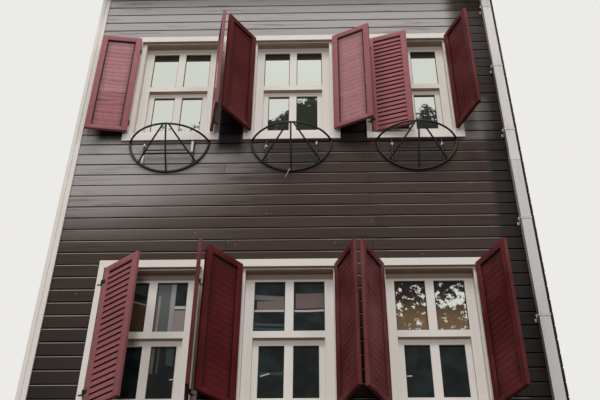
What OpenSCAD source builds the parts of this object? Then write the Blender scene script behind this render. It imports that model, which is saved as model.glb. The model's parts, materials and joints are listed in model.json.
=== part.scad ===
// Timber-clad row townhouse of three storeys, with louvred shutters and iron flower baskets.
// Millimetres, +Z up. The origin is the middle of the plan at ground level, and the front faces -Y.

/* [House] */
// Width from party wall to party wall
house_w = 4840; // [4700:20:5400]
// Depth from the front wall's face to the back wall's face
house_d = 8000; // [5000:100:12000]
// Thickness of the front and back walls
wall_t = 220; // [190:10:320]
// Thickness of each party wall
party_t = 220; // [150:10:300]
// Height of the first floor's surface above ground
first_floor_z = 4400; // [4300:10:4900]
// Height from one upper floor to the next
storey_h = 3280; // [3000:10:3800]
// Height of the front and back walls above the attic floor
knee_h = 300; // [200:10:600]
// Thickness of the upper floors
floor_t = 250; // [150:10:320]
// Thickness of the ground floor's slab
ground_t = 150; // [100:10:200]
// Height of the stone base course
plinth_h = 600; // [300:10:1000]
// How far the base course stands out from the walls
plinth_out = 30; // [10:5:60]

/* [Roof] */
// Slope of the roof in degrees
roof_pitch = 24; // [15:1:35]
// Thickness of the roof, measured square to its slope
roof_t = 160; // [100:10:240]
// Gap between the roof's underside and the walls' sloping tops
roof_seat = 0.3; // [0.2:0.1:1]
// How far the eaves stand out from the walls
eaves_out = 450; // [350:10:600]
// Height of the boxed cornice under the eaves
cornice_h = 260; // [180:10:320]
// Radius of the half-round gutter
gutter_r = 70; // [50:5:90]
// Thickness of the gutter's sheet
gutter_t = 4; // [2:1:8]

/* [Windows] */
// Place of the left window's centre line
window_1_x = -1355; // [-1400:5:-1330]
// Place of the middle window's centre line
window_2_x = -30; // [-60:5:0]
// Place of the right window's centre line
window_3_x = 1318; // [1300:2:1350]
// Width between a window's casing boards
opening_w = 950; // [900:10:980]
// Height between a window's casing boards
opening_h = 1515; // [1300:5:1700]
// Height of the opening's bottom above its floor
sill_z = 748; // [500:2:1000]
// Width of the casing boards beside the opening
casing_side = 55; // [40:5:70]
// Height of the casing boards over and under the opening
casing_end = 86; // [60:2:110]
// How far the casing stands out from the wall
casing_out = 28; // [20:1:40]
// Thickness of the lining at the opening's sides
lining_t = 50; // [30:5:60]
// Thickness of the lining's head board
lining_head_t = 10; // [8:1:30]
// Height of the lining's sill
lining_sill_t = 60; // [30:5:80]
// Distance from the wall's face to the window frame
reveal = 100; // [60:5:110]
// Depth of the window frame
frame_d = 100; // [90:2:110]
// Width of the window frame's members
frame_w = 87; // [60:1:100]
// Width of the bars between two panes
mullion_w = 82; // [40:2:100]
// Height of the transom between top light and casement
transom_h = 72; // [50:2:100]
// Height of the top light's glass
top_glass_h = 550; // [400:5:620]
// Width of the casement's members
sash_w = 57; // [40:1:80]
// Depth of the casement
sash_d = 45; // [30:5:50]
// How far the casement lies behind the frame's front
sash_back = 50; // [30:1:52]
// How far the top light's glass lies behind the frame's front
top_glass_back = 22; // [15:1:40]
// Thickness of the glass
glass_t = 6; // [4:1:24]

/* [Shutters] */
// Width of a shutter leaf
leaf_w = 460; // [420:2:466]
// Thickness of a shutter leaf
leaf_t = 36; // [32:1:40]
// Gap over a closed leaf
leaf_gap_top = 6; // [6:1:20]
// Gap under a closed leaf
leaf_gap_bottom = 9; // [8:1:40]
// Gap between a closed leaf's hinge edge and the casing
leaf_gap_side = 5; // [5:1:8]
// Width of the leaf's stiles
stile_w = 66; // [45:1:80]
// Height of the leaf's top rail
top_rail_h = 70; // [50:2:100]
// Height of the leaf's bottom rail
bottom_rail_h = 52; // [40:2:120]
// Number of louvres in a leaf
louvre_count = 21; // [12:1:24]
// Thickness of a louvre
louvre_t = 6; // [5:0.5:8]
// Slope of the louvres from upright in degrees
louvre_tilt = 20; // [18:1:30]
// Distance from the rails to the middles of the nearest louvres
louvre_end = 48; // [40:1:60]
// Thickness of the board behind the louvres
back_board_t = 4; // [3:0.5:6]
// How far the board lies in from the leaf's back
back_board_in = 6; // [4:0.5:8]
// Distance of the hinge axis in front of a closed leaf's face
hinge_out = 12; // [12:1:16]
// Radius of a hinge knuckle
knuckle_r = 7; // [6:0.5:7]
// Radius of a hinge pin
pin_r = 3.5; // [2.5:0.5:4]
// Height of a hinge knuckle
knuckle_h = 40; // [25:1:60]
// Distance of the hinges from the leaf's ends
hinge_inset = 150; // [80:5:260]
// Opening angle of the top row's leaves, from left to right
top_angles = [172, 103, 126, 155, 17, 114];
// Opening angle of the middle row's leaves, from left to right
middle_angles = [38, 99, 131, 112, 118, 117];

/* [Baskets] */
// Half of a flower basket's width
basket_half_w = 430; // [380:5:450]
// How far a flower basket stands out from the wall
basket_out = 295; // [250:5:400]
// Depth of a flower basket below its ring
basket_drop = 420; // [300:10:460]
// Radius of a flower basket's hoop
basket_hoop_r = 13; // [10:0.5:15]
// Radius of a flower basket's ring
basket_ring_r = 11; // [8:0.5:12]
// Radius of a flower basket's ribs
basket_rib_r = 9.5; // [6:0.5:10.5]
// Distance from the opening's bottom down to the basket's ring
basket_below = 108; // [108:2:160]
// How far a basket's ribs bow outwards
basket_bow = 35; // [20:5:60]
// Radius of the rods of a basket's shelf
basket_rod_r = 7; // [5:0.5:7.5]

/* [Downpipe and corner board] */
// Width of the square downpipe
pipe_w = 100; // [80:5:120]
// Depth of the square downpipe
pipe_d = 80; // [60:5:100]
// Wall thickness of the downpipe
pipe_t = 3; // [2:1:6]
// Distance of the downpipe's centre line from the right edge of the front
pipe_edge = 108; // [90:2:120]
// Gap between the downpipe and the wall
pipe_gap = 30; // [20:5:60]
// Heights of the downpipe's straps, as shares of the height up to the cornice
strap_shares = [0.1389, 0.2444, 0.35, 0.4537, 0.5581, 0.6622, 0.7733, 0.8658, 0.963];
// Height of a strap
strap_h = 35; // [20:5:60]
// Thickness of a strap
strap_t = 3; // [2:1:6]
// Width of the corner board at the left edge of the front
corner_w = 90; // [60:5:120]
// Thickness of the corner board
corner_t = 30; // [20:1:40]

/* [Door] */
// Width of the street door's opening
door_w = 1000; // [900:10:1040]
// Height of the street door's leaf
door_h = 2180; // [2000:10:2300]
// Thickness of the street door's leaf
door_t = 50; // [40:5:60]

/* [Hidden] */

front_y = -house_d / 2;
window_xs = [window_1_x, window_2_x, window_3_x];
floor_zs = [first_floor_z - storey_h, first_floor_z, first_floor_z + storey_h];
attic_z = first_floor_z + 2 * storey_h;
wall_top = attic_z + knee_h;
// bottoms of the window openings, from the street's row up
sill_zs = [for (z = floor_zs) z + sill_z];
door_x = window_1_x;
door_top = sill_zs[0] + opening_h;
door_transom = 70;

// the lining starts behind the closed leaves
lining_y = max(leaf_t - casing_out, 0) + leaf_gap_side;
frame_top = opening_h - lining_head_t;
pane_top_z = frame_top - frame_w;
transom_top = pane_top_z - top_glass_h;
transom_bottom = transom_top - transom_h;
frame_bottom = lining_sill_t + frame_w;
frame_half = opening_w / 2 - lining_t;
light_half = frame_half - frame_w;
sash_gap = 0.3;
sash_half = light_half - sash_gap;
sash_bottom = frame_bottom + sash_gap;
sash_top = transom_bottom - sash_gap;

leaf_h = opening_h - leaf_gap_top - leaf_gap_bottom;
hinge_y = -casing_out - hinge_out;
bore_r = pin_r + 0.1;
white = "#d8d6d0";
timber = "#4a4240";
burgundy = "#6e2a30";

// a block given by its low and high corners
module block(low, high) {
    translate(low) cube(high - low);
}

// puts what faces -Y at the wall's face: the front wall's, or turned round for the back wall's
module at_front() {
    translate([0, front_y, 0]) children();
}

module at_back() {
    rotate([0, 0, 180]) translate([0, front_y, 0]) children();
}

module at_windows(rows, bays = [0, 1, 2]) {
    for (row = rows, bay = bays)
        translate([window_xs[bay], 0, sill_zs[row]]) children();
}

// Walls: the bands run from side to side over and under the rows of openings, and the top one ends under the roof
module wall_bands() {
    edges = [
        [0, sill_zs[0]],
        [sill_zs[0] + opening_h, sill_zs[1]],
        [sill_zs[1] + opening_h, sill_zs[2]]
    ];
    for (edge = edges)
        block([-house_w / 2, 0, edge[0]], [house_w / 2, wall_t, edge[1]]);
    top_band_z = sill_zs[2] + opening_h;
    rotate([90, 0, 90]) translate([0, 0, -house_w / 2]) linear_extrude(house_w) polygon([
        [0, top_band_z], [wall_t, top_band_z], [wall_t, wall_rise(wall_t)], [0, wall_rise(0)]
    ]);
}

// the piers stand between the openings of one row, which are given as low and high places along X
module row_piers(row, gaps) {
    lows = concat([-house_w / 2], [for (gap = gaps) gap[1]]);
    highs = concat([for (gap = gaps) gap[0]], [house_w / 2]);
    for (i = [0 : len(lows) - 1])
        block([lows[i], 0, sill_zs[row]], [highs[i], wall_t, sill_zs[row] + opening_h]);
}

function window_gap(x) = [x - opening_w / 2, x + opening_w / 2];
door_gap = [door_x - door_w / 2, door_x + door_w / 2];
window_gaps = [for (x = window_xs) window_gap(x)];

module front_wall_bands() {
    color(timber) at_front() difference() {
        wall_bands();
        block([door_gap[0], -1, ground_t], [door_gap[1], wall_t + 1, door_top]);
    }
}

module front_wall_piers() {
    color(timber) at_front() {
        row_piers(0, [door_gap, window_gaps[1], window_gaps[2]]);
        row_piers(1, window_gaps);
        row_piers(2, window_gaps);
    }
}

module back_wall_bands() {
    color(timber) at_back() wall_bands();
}

module back_wall_piers() {
    color(timber) at_back() for (row = [0 : 2]) row_piers(row, window_gaps);
}

// height of the walls' tops, and of the roof's underside, at a distance in from the wall's face
function wall_rise(y_in) = wall_top + y_in * tan(roof_pitch);
function roof_under(y_in) = wall_rise(y_in) + roof_seat;

module party_wall() {
    half_d = house_d / 2;
    rotate([90, 0, 90]) linear_extrude(party_t) polygon([
        [-half_d + wall_t, 0], [half_d - wall_t, 0],
        [half_d - wall_t, wall_rise(wall_t)], [0, wall_rise(half_d)], [-half_d + wall_t, wall_rise(wall_t)]
    ]);
}

module left_wall() {
    color("#b9b2a6") translate([-house_w / 2, 0, 0]) party_wall();
}

module right_wall() {
    color("#b9b2a6") translate([house_w / 2 - party_t, 0, 0]) party_wall();
}

module plinth_course() {
    for (run = [[-house_w / 2, door_gap[0] - casing_side], [door_gap[1] + casing_side, house_w / 2]])
        block([run[0], -plinth_out, 0], [run[1], 0, plinth_h]);
}

module plinth() {
    color("#8d8a84") {
        at_front() plinth_course();
        at_back() block([-house_w / 2, -plinth_out, 0], [house_w / 2, 0, plinth_h]);
    }
}

module floor_slab(top_z, thickness) {
    half_w = house_w / 2 - party_t;
    half_d = house_d / 2 - wall_t;
    block([-half_w, -half_d, top_z - thickness], [half_w, half_d, top_z]);
}

module ground_floor() { color("#7c6a58") floor_slab(ground_t, ground_t); }
module first_floor() { color("#7c6a58") floor_slab(first_floor_z, floor_t); }
module second_floor() { color("#7c6a58") floor_slab(first_floor_z + storey_h, floor_t); }
module attic_floor() { color("#7c6a58") floor_slab(attic_z, floor_t); }

// Roof: one slope from the eaves to the ridge, cut upright at both ends
module roof_slope() {
    half_d = house_d / 2;
    rise = roof_t / cos(roof_pitch);
    rotate([90, 0, 90]) translate([0, 0, -house_w / 2]) linear_extrude(house_w) polygon([
        [-half_d - eaves_out, roof_under(-eaves_out)], [0, roof_under(half_d)],
        [0, roof_under(half_d) + rise], [-half_d - eaves_out, roof_under(-eaves_out) + rise]
    ]);
}

module roof_front() { color("#9a5a3c") roof_slope(); }
module roof_back() { color("#9a5a3c") rotate([0, 0, 180]) roof_slope(); }

// boxed cornice that fills the corner between the wall and the sloping eaves, with a cove in its face
module cornice_run() {
    low_z = roof_under(-eaves_out);
    depth = eaves_out - 2 * gutter_r;
    cove_r = cornice_h * 0.75;
    rotate([90, 0, 90]) translate([0, 0, -house_w / 2]) linear_extrude(house_w) difference() {
        polygon([
            [0, low_z - cornice_h], [0, wall_rise(0)],
            [-depth, wall_rise(-depth)], [-depth, low_z - cornice_h]
        ]);
        translate([-depth, low_z - cornice_h]) circle(cove_r, $fn = 64);
    }
}

module cornice_front() { color(white) at_front() cornice_run(); }
module cornice_back() { color(white) at_back() cornice_run(); }

// Rainwater: the gutter hangs under the front eaves and empties into the square downpipe
gutter_y = -eaves_out + gutter_r;
gutter_z = roof_under(-eaves_out) - 5;
pipe_x = house_w / 2 - pipe_edge;
pipe_y = -pipe_gap - pipe_d / 2;
neck_top = gutter_z - gutter_r;
cornice_low_z = roof_under(-eaves_out) - cornice_h;
neck_bottom = cornice_low_z - 180;
pipe_foot = 200;

module gutter() {
    color("#c9c7c2") at_front() translate([0, gutter_y, gutter_z])
        rotate([90, 0, 90]) translate([0, 0, -house_w / 2]) linear_extrude(house_w)
            difference() {
                circle(gutter_r, $fn = 64);
                circle(gutter_r - gutter_t, $fn = 64);
                translate([-gutter_r - 1, 0]) square([2 * gutter_r + 2, gutter_r + 1]);
            }
}

// outline of the downpipe's run in its side view, moved in by the wall thickness for its hollow
module pipe_run(inset) {
    r = pipe_d / 2 - inset;
    polygon([
        [pipe_y - r, pipe_foot], [pipe_y + r, pipe_foot],
        [pipe_y + r, neck_bottom], [gutter_y + r, neck_top - 120], [gutter_y + r, neck_top - 0.3],
        [gutter_y - r, neck_top - 0.3], [gutter_y - r, neck_top - 120], [pipe_y - r, neck_bottom]
    ]);
}

module downpipe() {
    color("#cfcdc8") at_front() rotate([90, 0, 90]) translate([0, 0, pipe_x]) difference() {
        translate([0, 0, -pipe_w / 2]) linear_extrude(pipe_w) pipe_run(0);
        translate([0, 0, -pipe_w / 2 + pipe_t]) linear_extrude(pipe_w - 2 * pipe_t) {
            pipe_run(pipe_t);
            translate([pipe_y - pipe_d / 2 + pipe_t, pipe_foot - 10]) square([pipe_d - 2 * pipe_t, 20]);
            translate([gutter_y - pipe_d / 2 + pipe_t, neck_top - 10]) square([pipe_d - 2 * pipe_t, 20]);
        }
    }
}

module pipe_straps() {
    half = pipe_w / 2;
    ear = 20;
    front = pipe_y - pipe_d / 2;
    color("#bdbbb6") at_front() for (share = strap_shares)
        translate([pipe_x, 0, share * cornice_low_z]) linear_extrude(strap_h) difference() {
            union() {
                translate([-half - strap_t, front - strap_t]) square([pipe_w + 2 * strap_t, strap_t - front]);
                translate([-half - strap_t - ear, -strap_t]) square([pipe_w + 2 * strap_t + 2 * ear, strap_t]);
            }
            translate([-half, front]) square([pipe_w, 1 - front]);
        }
}

module corner_board() {
    step = corner_w * 0.45;
    color(white) at_front() translate([-house_w / 2, 0, plinth_h]) linear_extrude(cornice_low_z - plinth_h) polygon([
        [0, 0], [0, -corner_t], [step, -corner_t], [step, -corner_t * 0.7], [corner_w, -corner_t * 0.7], [corner_w, 0]
    ]);
}

// Windows: a mitred casing on the wall, a lining in the opening, a frame with a transom, and one casement
module casing() {
    half = opening_w / 2;
    difference() {
        block([-half - casing_side, -casing_out, -casing_end], [half + casing_side, 0, opening_h + casing_end]);
        block([-half, -casing_out - 1, 0], [half, 1, opening_h]);
    }
}

module lining() {
    half = opening_w / 2;
    difference() {
        block([-half, lining_y, 0], [half, wall_t, opening_h]);
        block([-half + lining_t, 0, lining_sill_t], [half - lining_t, wall_t + 1, frame_top]);
    }
}

module window_frame() {
    difference() {
        block([-frame_half, reveal, lining_sill_t], [frame_half, reveal + frame_d, frame_top]);
        for (side = [-1, 1])
            translate([side * (mullion_w / 2 + light_half) / 2, 0, 0])
                block([-(light_half - mullion_w / 2) / 2, reveal - 1, transom_top],
                      [(light_half - mullion_w / 2) / 2, reveal + frame_d + 1, pane_top_z]);
        block([-light_half, reveal - 1, frame_bottom], [light_half, reveal + frame_d + 1, transom_bottom]);
    }
}

sash_y = reveal + sash_back;
sash_pane_half = (sash_half - sash_w - mullion_w / 2) / 2;
sash_pane_x = mullion_w / 2 + sash_pane_half;

module casement() {
    difference() {
        block([-sash_half, sash_y, sash_bottom], [sash_half, sash_y + sash_d, sash_top]);
        for (side = [-1, 1])
            translate([side * sash_pane_x, 0, 0])
                block([-sash_pane_half, sash_y - 1, sash_bottom + sash_w],
                      [sash_pane_half, sash_y + sash_d + 1, sash_top - sash_w]);
    }
}

module panes() {
    top_half = (light_half - mullion_w / 2) / 2;
    top_y = reveal + top_glass_back;
    sash_glass_y = sash_y + (sash_d - glass_t) / 2;
    for (side = [-1, 1]) {
        translate([side * (mullion_w / 2 + top_half), 0, 0])
            block([-top_half, top_y, transom_top], [top_half, top_y + glass_t, pane_top_z]);
        translate([side * sash_pane_x, 0, 0])
            block([-sash_pane_half, sash_glass_y, sash_bottom + sash_w],
                  [sash_pane_half, sash_glass_y + glass_t, sash_top - sash_w]);
    }
}

// handle on the room side of a casement's stile: a plate, a neck and a lever towards the middle
handle_z = 445;
handle_plate = [24, 6, 70];
handle_neck = 16;
lever_len = 115;
lever_t = 13;
lever_tilt = 18;

// side is -1 for a handle on the left stile, 1 for one on the right
module window_handle(side) {
    translate([side * (sash_half - sash_w / 2), sash_y + sash_d, handle_z]) mirror([side > 0 ? 1 : 0, 0, 0]) {
        block([-handle_plate[0] / 2, 0, -handle_plate[2] / 2], [handle_plate[0] / 2, handle_plate[1], handle_plate[2] / 2]);
        block([-lever_t / 2, handle_plate[1], -lever_t / 2], [lever_t / 2, handle_plate[1] + handle_neck, lever_t / 2]);
        translate([0, handle_plate[1] + handle_neck, 0]) rotate([0, -lever_tilt, 0])
            block([-lever_t / 2, 0, -lever_t / 2], [lever_len, lever_t, lever_t / 2]);
    }
}

module front_windows() {
    at_front() {
        at_windows([1, 2]) children();
        at_windows([0], [1, 2]) children();
    }
}

module back_windows_all() {
    at_back() at_windows([0, 1, 2]) children();
}

module front_casings() { color(white) front_windows() casing(); }
module front_linings() { color(white) front_windows() lining(); }
module front_frames() { color(white) front_windows() window_frame(); }
module front_casements() { color(white) front_windows() casement(); }

module front_glass() {
    color("#3f5257", 0.6) {
        front_windows() panes();
        at_front() translate([door_x, reveal + top_glass_back, 0])
            block([-door_clear_half, 0, door_light_bottom], [door_clear_half, glass_t, door_light_top]);
    }
}

// the left bay's handles are on the right stile, the others on the left
module window_handles() {
    color("#e8e8e6") at_front() {
        at_windows([1, 2], [0]) window_handle(1);
        at_windows([0, 1, 2], [1, 2]) window_handle(-1);
    }
}

module back_casings() { color(white) back_windows_all() casing(); }
module back_glass() { color("#3f5257", 0.6) back_windows_all() panes(); }

module back_windows() {
    color(white) back_windows_all() {
        lining();
        window_frame();
        casement();
    }
}

// Street door: a frame with a top light over a panelled leaf
door_frame_w = 70;
door_clear = 4;
door_stop = 16;
door_clear_half = door_w / 2 - door_frame_w;
door_light_bottom = ground_t + door_h + 2 * door_clear + door_transom;
door_light_top = door_top - door_frame_w;

module door_frame() {
    half = door_w / 2;
    clear_half = door_clear_half;
    light_bottom = door_light_bottom;
    stop_y = reveal + door_t;
    color(white) at_front() translate([door_x, 0, 0]) difference() {
        union() {
            block([-half, 0, ground_t], [half, wall_t, door_top]);
            block([-half - casing_side, -casing_out, ground_t], [half + casing_side, 0, door_top + casing_end]);
        }
        block([-clear_half, -casing_out - 1, ground_t - 1], [clear_half, stop_y, light_bottom - door_transom]);
        block([-clear_half + door_stop, -1, ground_t - 1],
              [clear_half - door_stop, wall_t + 1, light_bottom - door_transom - door_stop]);
        block([-clear_half, -casing_out - 1, light_bottom], [clear_half, wall_t + 1, door_light_top]);
    }
}

module door_leaf() {
    half = door_w / 2 - door_frame_w - door_clear;
    low = ground_t + door_clear;
    leaf_y = reveal;
    upright = 110;
    rail = 100;
    foot_rail = 200;
    panel_w = (2 * half - 3 * upright) / 2;
    panel_step = (door_h - foot_rail - rail) / 3;
    color("#3b2a24") at_front() translate([door_x, 0, 0]) {
        difference() {
            block([-half, leaf_y, low], [half, leaf_y + door_t, low + door_h]);
            for (side = [-1, 1], row = [0 : 2])
                translate([side * (panel_w + upright) / 2, leaf_y, low + foot_rail + row * panel_step])
                    block([-panel_w / 2, -1, 0], [panel_w / 2, 14, panel_step - rail]);
        }
    }
}

// Shutters: the leaf is drawn closed, with its hinge axis on the origin and the leaf towards -X
leaf_edge = -leaf_gap_side;
field_h = leaf_h - top_rail_h - bottom_rail_h;
louvre_pitch = (field_h - 2 * louvre_end) / (louvre_count - 1);
louvre_seat = 6;
louvre_out = 1;
// the louvres run a little into the board behind them
louvre_overlap = 0.3;
louvre_room = leaf_t - louvre_out - back_board_t - back_board_in + louvre_overlap;
louvre_w = (louvre_room - louvre_t * cos(louvre_tilt)) / sin(louvre_tilt);
louvre_rise = (louvre_w * cos(louvre_tilt) + louvre_t * sin(louvre_tilt)) / 2;

module louvre_leaf() {
    translate([leaf_edge - leaf_w, hinge_out, 0]) {
        difference() {
            cube([leaf_w, leaf_t, leaf_h]);
            translate([stile_w, -1, bottom_rail_h]) cube([leaf_w - 2 * stile_w, leaf_t + 2, field_h]);
        }
        for (i = [0 : louvre_count - 1])
            translate([stile_w - louvre_seat, louvre_out + louvre_room / 2, bottom_rail_h + louvre_end + i * louvre_pitch])
                rotate([-louvre_tilt, 0, 0])
                    translate([0, -louvre_t / 2, -louvre_w / 2])
                        cube([leaf_w - 2 * stile_w + 2 * louvre_seat, louvre_t, louvre_w]);
        block([stile_w - louvre_seat, leaf_t - back_board_in - back_board_t, bottom_rail_h - louvre_seat],
              [leaf_w - stile_w + louvre_seat, leaf_t - back_board_in, leaf_h - top_rail_h - louvre_end + louvre_rise]);
    }
}

strap_len = 45;
plate_t = 3;

module leaf_hinge() {
    difference() {
        union() {
            cylinder(h = knuckle_h, r = knuckle_r, $fn = 48);
            block([-strap_len, hinge_out - plate_t, 0], [-2, hinge_out, knuckle_h]);
            block([-knuckle_r, knuckle_r / 2, 0], [-2, hinge_out, knuckle_h]);
        }
        translate([0, 0, -1]) cylinder(h = knuckle_h + 2, r = bore_r, $fn = 48);
    }
}

hinge_zs = [hinge_inset, leaf_h - hinge_inset - knuckle_h];

module right_leaf() {
    louvre_leaf();
    for (z = hinge_zs) translate([0, 0, z]) leaf_hinge();
}

// fixed half of a hinge: a plate on the casing, an eye under the knuckle and a pin through it
module pintle() {
    eye_h = 14;
    pintle_gap = 1;
    translate([0, 0, -eye_h - pintle_gap]) {
        cylinder(h = eye_h, r = knuckle_r, $fn = 48);
        cylinder(h = eye_h + pintle_gap + knuckle_h + 4, r = pin_r, $fn = 48);
        block([0, knuckle_r / 2, 0], [knuckle_r, hinge_out, eye_h]);
        block([0, hinge_out - plate_t, 0], [40, hinge_out, eye_h]);
    }
}

// the hinge axis of one of a row's six leaves, with -X made the way to the window's middle
module at_hinge(row, leaf) {
    side = leaf % 2 == 0 ? -1 : 1;
    x = window_xs[floor(leaf / 2)] + side * opening_w / 2;
    z = sill_zs[row] + leaf_gap_bottom;
    at_front() translate([x, hinge_y, z])
        mirror([side < 0 ? 1 : 0, 0, 0]) children();
}

module shutter(row, leaf, angle) {
    color(burgundy) at_hinge(row, leaf) rotate([0, 0, angle]) right_leaf();
}

module shutter_pintles() {
    color("#26221f") for (row = [1, 2], leaf = [0 : 5], z = hinge_zs)
        at_hinge(row, leaf) translate([0, 0, z]) pintle();
}

// Flower basket: a level ring at the front, a half hoop on the wall, and ribs from one to the other
ring_r = (basket_half_w * basket_half_w + basket_out * basket_out) / (2 * basket_out);
ring_half_angle = asin(basket_half_w / ring_r);
hoop_r = (basket_half_w * basket_half_w + basket_drop * basket_drop) / (2 * basket_drop);
hoop_half_angle = basket_drop > basket_half_w ? 180 - asin(basket_half_w / hoop_r) : asin(basket_half_w / hoop_r);

// an arc of round rod in the XY plane, bulging to -Y, that ends on the X axis
module rod_arc(radius, half_angle, sag, rod) {
    translate([0, radius - sag, 0]) rotate([0, 0, -90 - half_angle])
        rotate_extrude(angle = 2 * half_angle, $fn = 72) translate([radius, 0]) circle(rod, $fn = 16);
}

// a straight round rod between two points
module rod(from, to, radius) {
    v = to - from;
    len = norm(v);
    translate(from) rotate([0, acos(v[2] / len), atan2(v[1], v[0])]) cylinder(h = len, r = radius, $fn = 16);
}

// points on the ring and on the hoop at a place along X
function ring_point(x) = [x, ring_r - basket_out - sqrt(ring_r * ring_r - x * x), 0];
function hoop_point(x) = [x, 0, hoop_r - basket_drop - sqrt(hoop_r * hoop_r - x * x)];

// places along X of each rib's ends on the ring and on the hoop
ribs = [[-28, -310], [0, 0], [28, 310]];
// places of the shelf's rods along the outer ribs, from the ring's end
shelf_rods = [0.68, 0.76];
// places along X of the stays between the casing and the hoop
stay_x = 270;
stay_r = 8.5;

// unit vector square to a rib's chord, pointing outwards and down
function bow_dir(chord) = let (
    u = chord / norm(chord), d = [0, -1, -1] / sqrt(2), e = d - (d * u) * u
) e / norm(e);

// centre line point of a bowed rib at a share of its chord
function rib_point(from, to, share) = let (
    half = norm(to - from) / 2, r = (half * half + basket_bow * basket_bow) / (2 * basket_bow),
    x = (2 * share - 1) * half
) from + (to - from) * share + bow_dir(to - from) * (sqrt(r * r - x * x) - r + basket_bow);

// an arc of round rod from one point to another, bowed outwards
module bowed_rib(from, to) {
    half = norm(to - from) / 2;
    r = (half * half + basket_bow * basket_bow) / (2 * basket_bow);
    ex = (to - from) / norm(to - from);
    ey = -bow_dir(to - from);
    ez = cross(ex, ey);
    translate((from + to) / 2) rotate([atan2(ey[2], ez[2]), -asin(ex[2]), atan2(ex[1], ex[0])])
        rod_arc(r, asin(half / r), basket_bow, basket_rib_r);
}

module basket() {
    // the hoop's ends run on a little over the ring, which ends inside them
    hoop_tip = asin((basket_ring_r + 6) / hoop_r);
    rod_arc(ring_r, ring_half_angle, basket_out, basket_ring_r);
    rotate([90, 0, 0]) rod_arc(hoop_r, hoop_half_angle + hoop_tip, basket_drop, basket_hoop_r);
    for (rib = ribs) bowed_rib(ring_point(rib[0]), hoop_point(rib[1]));
    for (share = shelf_rods)
        rod(rib_point(ring_point(ribs[0][0]), hoop_point(ribs[0][1]), share),
            rib_point(ring_point(ribs[2][0]), hoop_point(ribs[2][1]), share), basket_rod_r);
    for (x = [-stay_x, stay_x]) rod(hoop_point(x), [x, 0, 0], stay_r);
}

module flower_basket(bay) {
    color("#1c1b1a") at_front()
        translate([window_xs[bay], -basket_hoop_r, sill_zs[2] - basket_below]) basket();
}

front_wall_bands();
front_wall_piers();
back_wall_bands();
back_wall_piers();
left_wall();
right_wall();
plinth();
ground_floor();
first_floor();
second_floor();
attic_floor();
roof_front();
roof_back();
cornice_front();
cornice_back();
gutter();
downpipe();
pipe_straps();
corner_board();
front_casings();
front_linings();
front_frames();
front_casements();
front_glass();
window_handles();
back_casings();
back_windows();
back_glass();
door_frame();
door_leaf();
shutter_pintles();
flower_basket(0);  // basket_left
flower_basket(1);  // basket_middle
flower_basket(2);  // basket_right
for (i = [0 : 5]) {
    shutter(2, i, top_angles[i]);
    shutter(1, i, middle_angles[i]);
}
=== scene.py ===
import json
import random
from math import cos, pi, radians, tan

import bmesh
import bpy
from mathutils import Matrix, Vector

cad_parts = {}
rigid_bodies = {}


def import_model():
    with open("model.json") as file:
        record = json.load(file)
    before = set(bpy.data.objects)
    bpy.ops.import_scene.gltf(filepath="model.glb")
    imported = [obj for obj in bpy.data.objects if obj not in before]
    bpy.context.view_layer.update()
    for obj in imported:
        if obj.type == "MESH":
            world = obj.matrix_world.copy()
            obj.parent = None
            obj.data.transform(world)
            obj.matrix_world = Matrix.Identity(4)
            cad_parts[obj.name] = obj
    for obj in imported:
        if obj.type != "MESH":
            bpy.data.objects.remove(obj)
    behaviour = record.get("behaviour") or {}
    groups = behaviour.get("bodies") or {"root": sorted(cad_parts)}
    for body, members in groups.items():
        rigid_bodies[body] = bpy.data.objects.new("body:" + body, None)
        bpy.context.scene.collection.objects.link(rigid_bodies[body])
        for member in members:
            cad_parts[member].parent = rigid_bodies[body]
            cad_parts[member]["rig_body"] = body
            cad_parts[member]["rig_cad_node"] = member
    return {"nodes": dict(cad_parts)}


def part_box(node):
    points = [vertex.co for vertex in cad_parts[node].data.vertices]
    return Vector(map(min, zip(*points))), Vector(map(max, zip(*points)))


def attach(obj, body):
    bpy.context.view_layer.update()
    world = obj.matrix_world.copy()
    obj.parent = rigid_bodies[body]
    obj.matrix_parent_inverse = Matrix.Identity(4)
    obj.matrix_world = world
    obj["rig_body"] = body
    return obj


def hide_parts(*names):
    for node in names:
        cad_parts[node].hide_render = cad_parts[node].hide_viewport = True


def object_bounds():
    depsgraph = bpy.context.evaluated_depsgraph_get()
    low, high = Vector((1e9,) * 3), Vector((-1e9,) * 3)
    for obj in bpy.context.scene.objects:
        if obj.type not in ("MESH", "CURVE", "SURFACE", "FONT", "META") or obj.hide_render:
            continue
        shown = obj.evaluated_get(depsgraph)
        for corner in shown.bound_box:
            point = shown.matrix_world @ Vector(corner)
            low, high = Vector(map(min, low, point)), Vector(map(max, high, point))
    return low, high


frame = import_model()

cad_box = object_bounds()

# Sizes of the house, in metres, as in the part's source
HALF_W = 2.42
FRONT = -4.0
WINDOW_XS = (-1.355, -0.030, 1.318)
SILLS = (1.868, 5.148, 8.428)
OPENING_W, OPENING_H = 0.950, 1.515
OPENING_HALF = OPENING_W / 2
STOREY = 3.28
CASING_SIDE, CASING_END, CASING_OUT = 0.055, 0.086, 0.028
REVEAL = 0.100
DOOR_X, DOOR_HALF, DOOR_LOW, DOOR_TOP = -1.355, 0.500, 0.150, 3.383

# Turns that lay an upright round bar along Y or along X
ALONG_Y, ALONG_X = (pi / 2, 0, 0), (0, pi / 2, 0)

random.seed(5)


# Modelling by hand

def clear_choice():
    bpy.ops.object.select_all(action="DESELECT")


def take(piece):
    """Makes one piece the only selected one, and the active one."""
    clear_choice()
    piece.select_set(True)
    bpy.context.view_layer.objects.active = piece
    return piece


def named(piece, name):
    piece.name = piece.data.name = name
    return piece


def settle(piece, name):
    """Names a new primitive and puts its place and size into its mesh."""
    bpy.ops.object.transform_apply(location=True, rotation=True, scale=True)
    return named(piece, name)


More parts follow.
